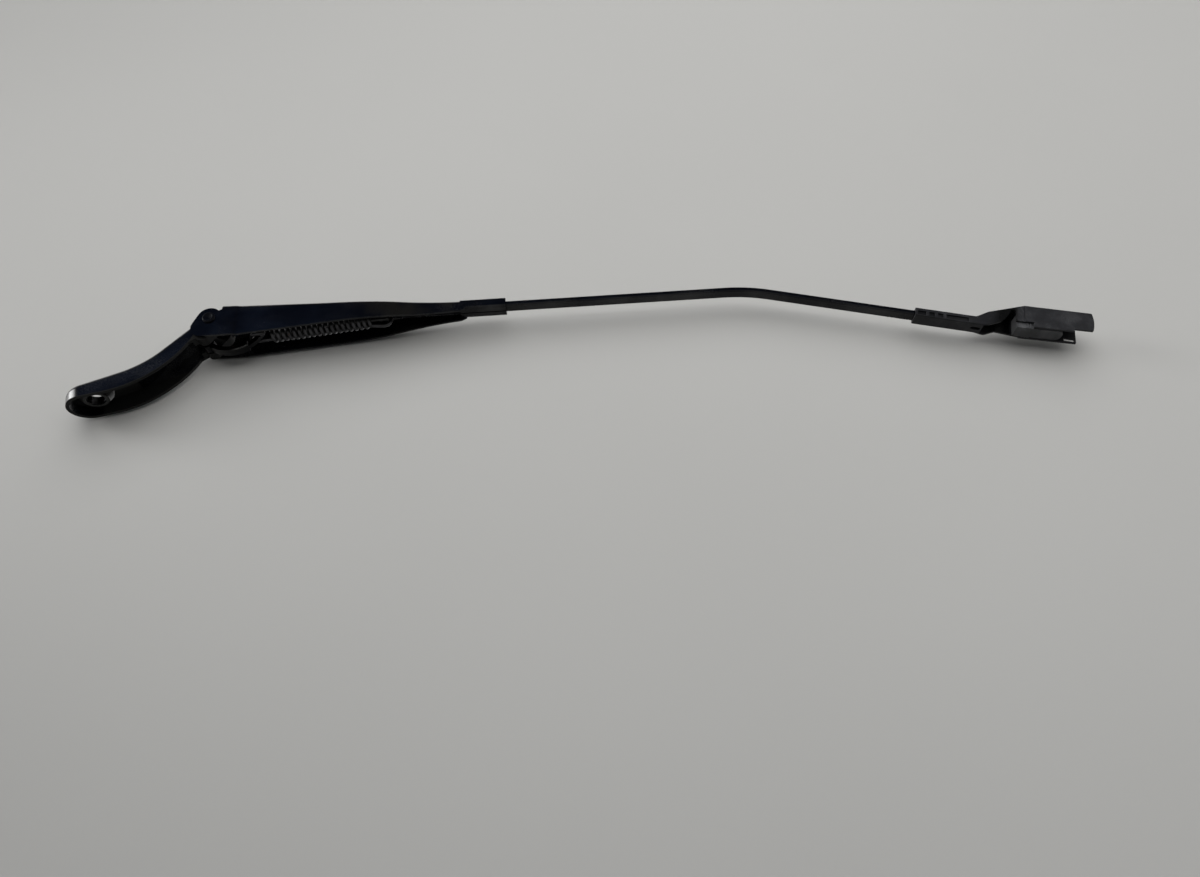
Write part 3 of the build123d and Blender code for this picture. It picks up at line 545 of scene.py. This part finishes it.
class WIPER_OT_paint(bpy.types.Operator):
    """Paint the head, the channel, the rivet and the bar"""

    bl_idname = "wiper.paint"
    bl_label = "Paint Metal"

    def execute(self, context):
        paint = context.scene.wiper_paint
        gloss = {"Specular IOR Level": 0.17, "Coat Roughness": 0.06, "Coat IOR": 1.5}
        dull = {"Specular IOR Level": 0.06, "Coat Roughness": 0.1}
        dress(new_material("head_paint", lambda at: self.head(at, paint), gloss), "arm_head")
        dress(new_material("channel_paint", lambda at: self.channel(at, paint), gloss), "channel")
        dress(new_material("rivet_paint", lambda at: self.rivet(at, paint), dull), "hinge_pin")
        dress(new_material("rod_paint", lambda at: self.rod(at, paint), gloss), "rod")
        return {"FINISHED"}

    def head(self, at, paint):
        """Paint outside, dull casting in the hollow, a worn ring on the boss and a ribbed bore."""
        colour, roughness, coat, peel = paint_layers(at, paint)
        x, y, z = (along(at, ORIGIN, axis) for axis in (X_AXIS, Y_AXIS, Z_AXIS))
        radius = length(x, y)
        across = length(x.math("MINIMUM", x, 0.0), y)
        under = band(z - x * paint.hollow_rise, paint.hollow_depth, paint.hollow_depth - 0.3 * MM)
        inside = band(across, paint.hollow_half, paint.hollow_half - 0.2 * MM) * under
        past = x.math("MAXIMUM", x - paint.rim_bend, 0.0)
        chord = paint.rim_radius * paint.rim_radius - past * past
        above_rim = z + paint.rim_drop - (paint.rim_radius - chord.math("SQRT", chord))
        inside = inside.math("MAXIMUM", inside, band(above_rim, 0.6 * MM, 0.2 * MM))
        ring = between(radius, paint.bore_radius, paint.boss_radius - 0.4 * MM, 0.3 * MM)
        ring = ring * band(z, 0.5 * MM, 0.2 * MM)
        wall = band(radius, paint.bore_radius + 0.3 * MM, paint.bore_radius) * under
        scratch = noise(at, 900.0, 5.0, 0.7)
        bare = ring * band(scratch, 0.25, 0.65)
        colour = blend(inside * 0.85, colour, opaque(paint.casting))
        colour = blend(bare, colour, opaque(paint.bare))
        tooth = x.math("ARCTAN2", y, x) * paint.serrations
        relief = peel + wall * tooth.math("SINE", tooth) * 6.0 + bare * scratch
        return {
            "Base Color": colour,
            "Metallic": bare * 0.5,
            "Roughness": roughness + inside * (0.42 - bare * 0.15),
            "Coat Weight": coat * (1.0 - inside),
            "Normal": bump(relief, 0.12, 0.2 * MM),
        }

    def channel(self, at, paint):
        """Paint with a film of dried dirt towards the sleeve, worn thin along the cut lip, where paler bare
        metal is also a painted highlight on the edge.
        """
        colour, roughness, coat, peel = paint_layers(at, paint)
        hinge = tuple(joint_place("arm_hinge"))
        cosine, sine = math.cos(paint.droop), math.sin(paint.droop)
        x = along(at, hinge, (cosine, 0.0, -sine))
        z = along(at, hinge, (sine, 0.0, cosine))
        past = x.math("MAXIMUM", x - paint.lip_bend, 0.0)
        height = z + paint.lip_drop - past * paint.lip_slope
        # Paler bare metal along the cut lip: partly worn paint and partly a painted highlight on the edge.
        rub = noise(at, 160.0, 4.0, 0.7)
        lip = band(height, 0.75 * MM, 0.1 * MM) * band(rub, 0.3, 0.6)
        lip = lip * between(x, 0.0, paint.lip_end, 4.0 * MM)
        film = band(x, paint.film_start, paint.film_full) * band(x, paint.film_end, paint.film_fade)
        film = film * band(noise(at, 45.0, 3.0), 0.4, 0.6)
        colour = blend(film * paint.film_cover, colour, opaque(paint.film))
        colour = blend(lip * 0.25, colour, opaque(paint.bare))
        return {
            "Base Color": colour,
            "Metallic": lip * 0.5,
            "Roughness": roughness + lip * 0.12,
            "Coat Weight": coat * (1.0 - lip),
            "Normal": bump(peel, 0.1, 0.2 * MM),
        }

    def rivet(self, at, paint):
        """Paint dulled by the riveting die, with rings of its turning."""
        colour, roughness, coat, peel = paint_layers(at, paint)
        pin = tuple(joint_place("arm_hinge"))
        radius = length(along(at, pin, X_AXIS), along(at, pin, Z_AXIS))
        rings = radius.math("SINE", radius * TURNING_RINGS)
        return {
            "Base Color": colour,
            "Roughness": roughness + 0.3,
            "Coat Weight": coat * 0.2,
            "Normal": bump(peel + rings * 0.2, 0.1, 0.2 * MM),
        }

    def rod(self, at, paint):
        """Thinner paint with drawing lines along the bar."""
        colour, roughness, coat, peel = paint_layers(at, paint)
        lines = streaks(at, (0.02, 1.0, 1.0), 1400.0)
        return {
            "Base Color": colour,
            "Roughness": roughness + lines * 0.12,
            "Coat Weight": coat * 0.4,
            "Normal": bump(peel + lines * 0.8, 0.1, 0.15 * MM),
        }


class WIPER_OT_steel(bpy.types.Operator):
    """Finish the hook and the pins and cut the serrations of the bore"""

    bl_idname = "wiper.steel"
    bl_label = "Finish Steel"

    def execute(self, context):
        steel = context.scene.wiper_steel
        # The hook gets a painted highlight along the outer edge of its bow.
        dress(steel_material("hook_steel", steel, steel.black, self.edge_highlight), "spring_hook")
        dress(steel_material("pin_steel", steel, steel.wire), "spring_pin", "adapter_pin")
        cone = self.serrations(context.scene.wiper_paint)
        bore = steel_material("bore_steel", steel, steel.black)
        teeth = mesh_object("bore_serrations", [cone], Matrix(), bore, closed=False)
        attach(teeth, "head")
        return {"FINISHED"}

    def serrations(self, paint):
        """Toothed cone p(a, z) = (q cos a, q sin a, z), q = R(z) - d(z) w(a), with w a triangle wave."""
        z = np.linspace(paint.seat_height, 0.0, 24)[:, None]
        angle = np.linspace(0.0, 2 * np.pi, 8 * paint.serrations, endpoint=False)[None]
        wave = np.abs(angle * paint.serrations / np.pi % 2.0 - 1.0)
        cone = np.clip((z - paint.land) / (paint.seat_height - paint.land), 0.0, 1.0)
        depth = paint.tooth * np.clip(np.minimum(z, paint.seat_height - z) / paint.tooth, 0.0, 1.0)
        radius = paint.bore_radius + (paint.top_radius - paint.bore_radius) * cone - depth * wave
        height = np.broadcast_to(z, radius.shape)
        return np.stack([radius * np.cos(angle), radius * np.sin(angle), height], -1)

    def edge_highlight(self, at, steel):
        """Painted highlight along the outer edge of the bow, from its middle towards the tip."""
        pin = joint_place("link_swing")
        pull = (joint_place("spring_swing") - pin).normalized()
        lift = Vector((-pull.z, 0.0, pull.x))
        middle = pin + pull * steel.bow_place + lift * steel.bow_height
        x, z = (along(at, tuple(middle), tuple(axis)) for axis in (pull, lift))
        edge = band(length(x, z), steel.bow_radius - 0.9 * MM, steel.bow_radius - 0.5 * MM)
        y = along(at, ORIGIN, Y_AXIS)
        near = band(y, 0.7 * MM - steel.bow_half, 0.3 * MM - steel.bow_half)
        return edge * near * between(x, 1.0 * MM, 13.0 * MM, 3.0 * MM)


def steel_material(name, steel, colour, edge_highlight=None):
    """Oiled steel, dark in patches of dirt, with thin rust where oil is missing and, where a mask is given,
    a painted highlight on an edge.
    """

    def build(at):
        grime_and_shade = noise(at, 220.0, 5.0, 0.6)
        fine = noise(at, 1800.0, 3.0, 0.7)
        dark = blend(band(grime_and_shade, 0.4, 0.75), opaque(colour), opaque([0.4 * part for part in colour]))
        rusty = band(grime_and_shade, 0.62, 0.72) * band(fine, 0.4, 0.6) * 0.6
        worn = blend(rusty, dark, opaque(steel.rust))
        metal = 0.95 - rusty
        if edge_highlight:
            # Painted highlight: a pale, less metallic edge that the lamps light up as a bright line.
            highlight = edge_highlight(at, steel) * band(fine, 0.3, 0.55)
            worn = blend(highlight, worn, opaque(steel.highlit))
            metal = metal - highlight * 0.6
        return {
            "Base Color": worn,
            "Metallic": metal,
            "Roughness": steel.roughness + grime_and_shade * 0.16 + rusty * 0.3,
            "Normal": bump(fine, 0.08, 0.1 * MM),
        }

    return new_material(name, build, {"Specular IOR Level": 0.5})


class WIPER_OT_plastic(bpy.types.Operator):
    """Finish the blade holder, its insert and the bushes"""

    bl_idname = "wiper.plastic"
    bl_label = "Finish Plastic"

    def execute(self, context):
        plastic = context.scene.wiper_plastic
        dress(self.material("holder_plastic", plastic, plastic.holder, 1.0), "blade_holder")
        dress(self.material("adapter_plastic", plastic, plastic.adapter, 1.4), "blade_adapter")
        bush = self.material("bush_plastic", plastic, plastic.holder, 0.4)
        dress(bush, "hinge_bush_near", "hinge_bush_far")
        return {"FINISHED"}

    def material(self, name, plastic, colour, dusty):
        """Spark-eroded grain with dust in it, paler in patches, scuffed lengthwise, and painted shade that
        darkens the ramp and the pockets, which are also made glossier.
        """
        socket = next(mount for mount in frame["record"]["mounts"] if mount["name"] == "blade_socket")

        def build(at):
            patch = noise(at, 70.0, 4.0, 0.6)
            grain = noise(at, 2400.0, 2.0, 0.6)
            scuff = streaks(at, (0.25, 1.0, 1.0), 620.0)
            faded_and_shaded = blend(band(patch, 0.35, 0.7), opaque(colour), opaque([1.9 * part for part in colour]))
            s = along(at, tuple(socket["pos_m"]), tuple(socket["axis"]))
            y = along(at, ORIGIN, Y_AXIS)
            # Painted shade: the pockets and the ramp behind the socket are darkened in colour for the shade
            # in them.
            pocket_shade = between(y.math("ABSOLUTE", y), plastic.pocket_inner, plastic.pocket_outer, 0.15 * MM)
            pocket_shade = pocket_shade * band(s, -plastic.pocket_end, -plastic.pocket_full)
            ramp = band(s, -plastic.shade_start, -plastic.shade_full)
            ramp = ramp * band(s, -plastic.shade_end, -plastic.shade_fade)
            grime_and_shade = ramp.math("MAXIMUM", ramp, pocket_shade * 0.6) * plastic.grime_and_shade
            faded_and_shaded = blend(grime_and_shade, faded_and_shaded, opaque([0.08 * part for part in colour]))
            dust = (band(patch, 0.45, 0.75) * 0.7 + band(scuff, 0.6, 0.75) * 0.5) * band(grain, 0.35, 0.65)
            chafe = between(s, -plastic.chafe_back, -plastic.chafe_front, 1.0 * MM)
            dust = dust * (1.0 - grime_and_shade) + chafe * band(streaks(at, (1.0, 1.0, 0.3), 480.0), 0.5, 0.68)
            return {
                "Base Color": blend(dust * plastic.dust * dusty, faded_and_shaded, opaque(plastic.dust_colour)),
                "Roughness": plastic.roughness + dust * 0.25 - band(scuff, 0.66, 0.8) * 0.12 - grime_and_shade * 0.28,
                "Normal": bump(grain + scuff * 0.4, 0.16, 0.12 * MM),
            }

        return new_material(name, build, {"Specular IOR Level": 0.2})


class WIPER_OT_spring(bpy.types.Operator):
    """Wind the tension spring from round wire, in two halves that slide apart as the arm lifts"""

    bl_idname = "wiper.spring"
    bl_label = "Wind Spring"

    def execute(self, context):
        spring = context.scene.wiper_spring
        pin, anchor = joint_place("link_swing"), joint_place("spring_swing")
        reach = (anchor - pin).length
        shared_end = spring.shared_start + spring.shared_turns
        head_half = [
            tube(self.loop(spring), Z_AXIS, spring.wire_radius),
            tube(self.coil(spring, 0.0, shared_end), X_AXIS, spring.wire_radius),
        ]
        slim = spring.wire_radius * spring.inner_share
        arm_half = [
            tube(self.coil(spring, spring.shared_start, shared_end), X_AXIS, slim),
            tube(self.coil(spring, shared_end, spring.turns), X_AXIS, spring.wire_radius),
            tube(self.tail(spring, reach), Y_AXIS, spring.wire_radius),
        ]
        steel = context.scene.wiper_steel
        material = steel_material("spring_steel", steel, steel.wire)
        turn = Vector(X_AXIS).rotation_difference(anchor - pin).to_matrix().to_4x4()
        halves = (("spring_head_half", head_half, "link"), ("spring_arm_half", arm_half, "spring"))
        for name, grids, body in halves:
            made = mesh_object(name, grids, Matrix.Translation(pin) @ turn, material)
            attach(made, body)
            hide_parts("tension_spring")
        return {"FINISHED"}

    def coil(self, spring, first, last):
        """Helix p(t) = (start + pitch t, r cos 2 pi t, r sin 2 pi t) from one turn to another."""
        t = np.linspace(first, last, int((last - first) * TURN_STEPS) + 1)
        turn = 2 * np.pi * t
        across = spring.coil_radius * np.stack([np.cos(turn), np.sin(turn)], 1)
        return np.column_stack([spring.coil_start + spring.pitch * t, across])

    def loop(self, spring):
        """End loop: a leg along x at y = r, a half circle round its middle and a leg back at y = -r."""
        radius, middle = spring.coil_radius, spring.loop_place
        leg = np.linspace(spring.coil_start, middle, 8)[:-1]
        turn = np.linspace(0.5 * np.pi, 1.5 * np.pi, 40)
        back = np.linspace(middle, spring.coil_start - 2 * spring.wire_radius, 8)[1:]
        x = np.concatenate([leg, middle + radius * np.cos(turn), back])
        y = np.concatenate([np.full(len(leg), radius), radius * np.sin(turn), np.full(len(back), -radius)])
        return np.column_stack([x, y, np.zeros(len(x))])

    def tail(self, spring, reach):
        """Tail: a slanted leg, an arc of the bend radius tangent to both legs and a leg into the bar."""
        start = np.array([spring.coil_start + spring.pitch * spring.turns, -spring.coil_radius])
        corner = np.array([reach, -spring.tail_drop])
        slant = np.arctan2(*(corner - start)[::-1])
        setback = spring.tail_bend * np.tan((0.5 * np.pi - slant) / 2)
        centre = np.array([reach - spring.tail_bend, corner[1] + setback])
        turn = np.linspace(slant - 0.5 * np.pi, 0.0, 24)
        arc = centre + spring.tail_bend * np.column_stack([np.cos(turn), np.sin(turn)])
        first = start + (arc[0] - start) * np.linspace(0.0, 1.0, 10)[:-1, None]
        end = np.array([reach, spring.tail_rise])
        last = arc[-1] + (end - arc[-1]) * np.linspace(0.0, 1.0, 8)[1:, None]
        line = np.concatenate([first, arc, last])
        return np.column_stack([line[:, 0], np.zeros(len(line)), line[:, 1]])


def tube(path, side, radius, sides=20):
    """Surface p(s, a) = c(s) + r (cos a n(s) + sin a b(s)), with n along side x c' and b along c' x n."""
    ahead = np.gradient(path, axis=0)
    ahead /= np.linalg.norm(ahead, axis=1, keepdims=True)
    normal = np.cross(side, ahead)
    normal /= np.linalg.norm(normal, axis=1, keepdims=True)
    other = np.cross(ahead, normal)
    angle = np.linspace(0.0, 2 * np.pi, sides, endpoint=False)[None, :, None]
    return path[:, None] + radius * (np.cos(angle) * normal[:, None] + np.sin(angle) * other[:, None])


def mesh_object(name, grids, place, material, closed=True):
    """One object from grids of rings, each joined to the next, its ends closed by faces or left open."""
    points, quads, ends, first = [], [], [], 0
    for grid in grids:
        rows, columns = grid.shape[:2]
        index = first + np.arange(rows * columns).reshape(rows, columns)
        beside = np.roll(index, -1, axis=1)
        quads += np.stack([index[:-1], beside[:-1], beside[1:], index[1:]], -1).reshape(-1, 4).tolist()
        ends += [index[0, ::-1].tolist(), index[-1].tolist()] if closed else []
        points.append(grid.reshape(-1, 3))
        first += rows * columns
    mesh = bpy.data.meshes.new(name)
    mesh.from_pydata(np.concatenate(points).tolist(), [], quads + ends)
    mesh.polygons.foreach_set("use_smooth", [True] * len(quads) + [False] * len(ends))
    mesh.materials.append(material)
    mesh.transform(place)
    made = bpy.data.objects.new(name, mesh)
    bpy.context.scene.collection.objects.link(made)
    return made


class WIPER_OT_stage(bpy.types.Operator):
    """Set up the floor, the lamps, the world and the camera"""

    bl_idname = "wiper.stage"
    bl_label = "Set Stage"

    def execute(self, context):
        stage = context.scene.wiper_stage
        self.floor(stage)
        rear = self.lamp("rear_lamp", stage.rear_power, stage.rear_way, stage)
        rear.data.size = stage.rear_size
        rear.visible_glossy = False
        left = self.lamp("left_lamp", stage.left_power, stage.left_way, stage)
        left.data.shape = "RECTANGLE"
        left.data.size_y = stage.left_height
        left.data.spread = stage.left_spread
        self.lamp("right_lamp", stage.right_power, stage.right_way, stage)
        under = self.lamp("under_lamp", stage.under_power, stage.under_way, stage)
        under.data.use_shadow = False
        self.world(context.scene, stage)
        self.camera(context.scene, stage)
        context.scene.view_settings.view_transform = "Standard"
        return {"FINISHED"}

    def floor(self, stage):
        """Plain pale floor at the far side of the arm, clear when it is seen from behind."""
        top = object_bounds()[1].y + stage.floor_gap
        half = stage.floor_size / 2
        corners = [(-half, top, -half), (half, top, -half), (half, top, half), (-half, top, half)]
        mesh = bpy.data.meshes.new("floor")
        mesh.from_pydata(corners, [], [(0, 1, 2, 3)])
        material = bpy.data.materials.new("floor_paint")
        material.use_nodes = True
        tree = material.node_tree
        shader = tree.nodes["Principled BSDF"]
        shader.inputs["Specular IOR Level"].default_value = 0.25
        at = Value(tree, tree.nodes.new("ShaderNodeTexCoord").outputs["Object"])
        cloud = noise(at, 5.0, 3.0)
        pale = [0.96 * part for part in stage.floor_colour]
        at.feed(shader.inputs["Base Color"], blend(cloud, opaque(stage.floor_colour), opaque(pale)))
        at.feed(shader.inputs["Roughness"], 0.42 + cloud * 0.1)
        behind = Value(tree, tree.nodes.new("ShaderNodeNewGeometry").outputs["Backfacing"])
        clear = Value(tree, tree.nodes.new("ShaderNodeBsdfTransparent").outputs[0])
        shown = behind.node("ShaderNodeMixShader", {0: behind, 1: Value(tree, shader.outputs[0]), 2: clear})
        at.feed(tree.nodes["Material Output"].inputs["Surface"], shown)
        mesh.materials.append(material)
        made = bpy.data.objects.new("floor", mesh)
        bpy.context.scene.collection.objects.link(made)
        made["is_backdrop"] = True

    def lamp(self, name, power, way, stage):
        """Soft square lamp that faces the aim from one way."""
        data = bpy.data.lights.new(name, "AREA")
        data.energy = power
        data.size = stage.lamp_size
        made = bpy.data.objects.new(name, data)
        made.location = Vector(stage.aim) + stage.lamp_distance * Vector(way).normalized()
        made.rotation_mode = "QUATERNION"
        made.rotation_quaternion = (-Vector(way)).to_track_quat("-Z", "Y")
        bpy.context.scene.collection.objects.link(made)
        return made

    def world(self, scene, stage):
        """Dim light with a blue patch for the flanks to mirror, pale walls and a dim ceiling in mirrors."""
        world = bpy.data.worlds.new("studio")
        world.use_nodes = True
        tree = world.node_tree
        shader = tree.nodes["Background"]
        shader.inputs["Color"].default_value = opaque(stage.sky_colour)
        shader.inputs["Strength"].default_value = stage.sky
        way = Value(tree, tree.nodes.new("ShaderNodeTexCoord").outputs["Generated"])
        nearness = along(way, ORIGIN, tuple(Vector(stage.patch_way).normalized()))
        blue = {"Color": opaque(stage.patch_colour), "Strength": stage.patch}
        patch = way.node("ShaderNodeBackground", blue)
        factor = band(nearness, stage.patch_edge, 1.0)
        shown = way.node("ShaderNodeMixShader", {0: factor, 1: Value(tree, shader.outputs[0]), 2: patch})
        path = tree.nodes.new("ShaderNodeLightPath")
        rays = ("Is Camera Ray", "Is Glossy Ray", "Is Transmission Ray")
        camera, glossy, through = (Value(tree, path.outputs[name]) for name in rays)
        ceiling = along(way, ORIGIN, tuple(Vector(stage.ceiling_way).normalized()))
        outside = band(ceiling, stage.ceiling_edge[1], stage.ceiling_edge[0])
        mirrored = outside * way.math("MINIMUM", glossy + through, 1.0)
        walls = way.math("MAXIMUM", camera, mirrored)
        pale = way.node("ShaderNodeBackground", {"Color": opaque(stage.wall), "Strength": 1.0})
        shown = way.node("ShaderNodeMixShader", {0: walls, 1: shown, 2: pale})
        way.feed(tree.nodes["World Output"].inputs["Surface"], shown)
        scene.world = world

    def camera(self, scene, stage):
        """Camera at the viewing angle of the photograph."""
        data = bpy.data.cameras.new("camera")
        data.lens = stage.lens
        data.sensor_width = SENSOR_WIDTH
        data.clip_start, data.clip_end = CLIP_RANGE
        right = Vector(stage.camera_right).normalized()
        up = Vector(stage.camera_up)
        up = (up - right * up.dot(right)).normalized()
        axes = Matrix((right, up, right.cross(up))).transposed().to_4x4()
        made = bpy.data.objects.new("camera", data)
        made.matrix_world = Matrix.Translation(stage.camera_place) @ axes
        scene.collection.objects.link(made)
        scene.camera = made


class WIPER_PT_panel(bpy.types.Panel):
    """Settings and steps of the wiper arm in the sidebar"""

    bl_idname = "WIPER_PT_panel"
    bl_label = "Wiper Arm"
    bl_space_type = "VIEW_3D"
    bl_region_type = "UI"
    bl_category = "Wiper Arm"

    def draw(self, context):
        for name, (group, operator) in SETTINGS.items():
            column = self.layout.column(align=True)
            for prop in group.__annotations__:
                column.prop(getattr(context.scene, name), prop)
            column.operator(operator.bl_idname)


SETTINGS = {
    "wiper_paint": (WiperPaint, WIPER_OT_paint),
    "wiper_steel": (WiperSteel, WIPER_OT_steel),
    "wiper_plastic": (WiperPlastic, WIPER_OT_plastic),
    "wiper_spring": (WiperSpring, WIPER_OT_spring),
    "wiper_stage": (WiperStage, WIPER_OT_stage),
}


def register():
    for name, (group, operator) in SETTINGS.items():
        bpy.utils.register_class(group)
        bpy.utils.register_class(operator)
        setattr(bpy.types.Scene, name, PointerProperty(type=group))
    bpy.utils.register_class(WIPER_PT_panel)


def unregister():
    bpy.utils.unregister_class(WIPER_PT_panel)
    for name, (group, operator) in reversed(SETTINGS.items()):
        delattr(bpy.types.Scene, name)
        bpy.utils.unregister_class(operator)
        bpy.utils.unregister_class(group)


def corners():
    """Lowest and highest corner of what is shown, as plain lists."""
    return [list(corner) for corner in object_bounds()]


def main():
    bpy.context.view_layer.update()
    register()
    bpy.ops.wiper.paint()
    bpy.ops.wiper.steel()
    bpy.ops.wiper.plastic()
    bpy.ops.wiper.spring()
    bpy.ops.wiper.stage()


if __name__ == "__main__":
    main()
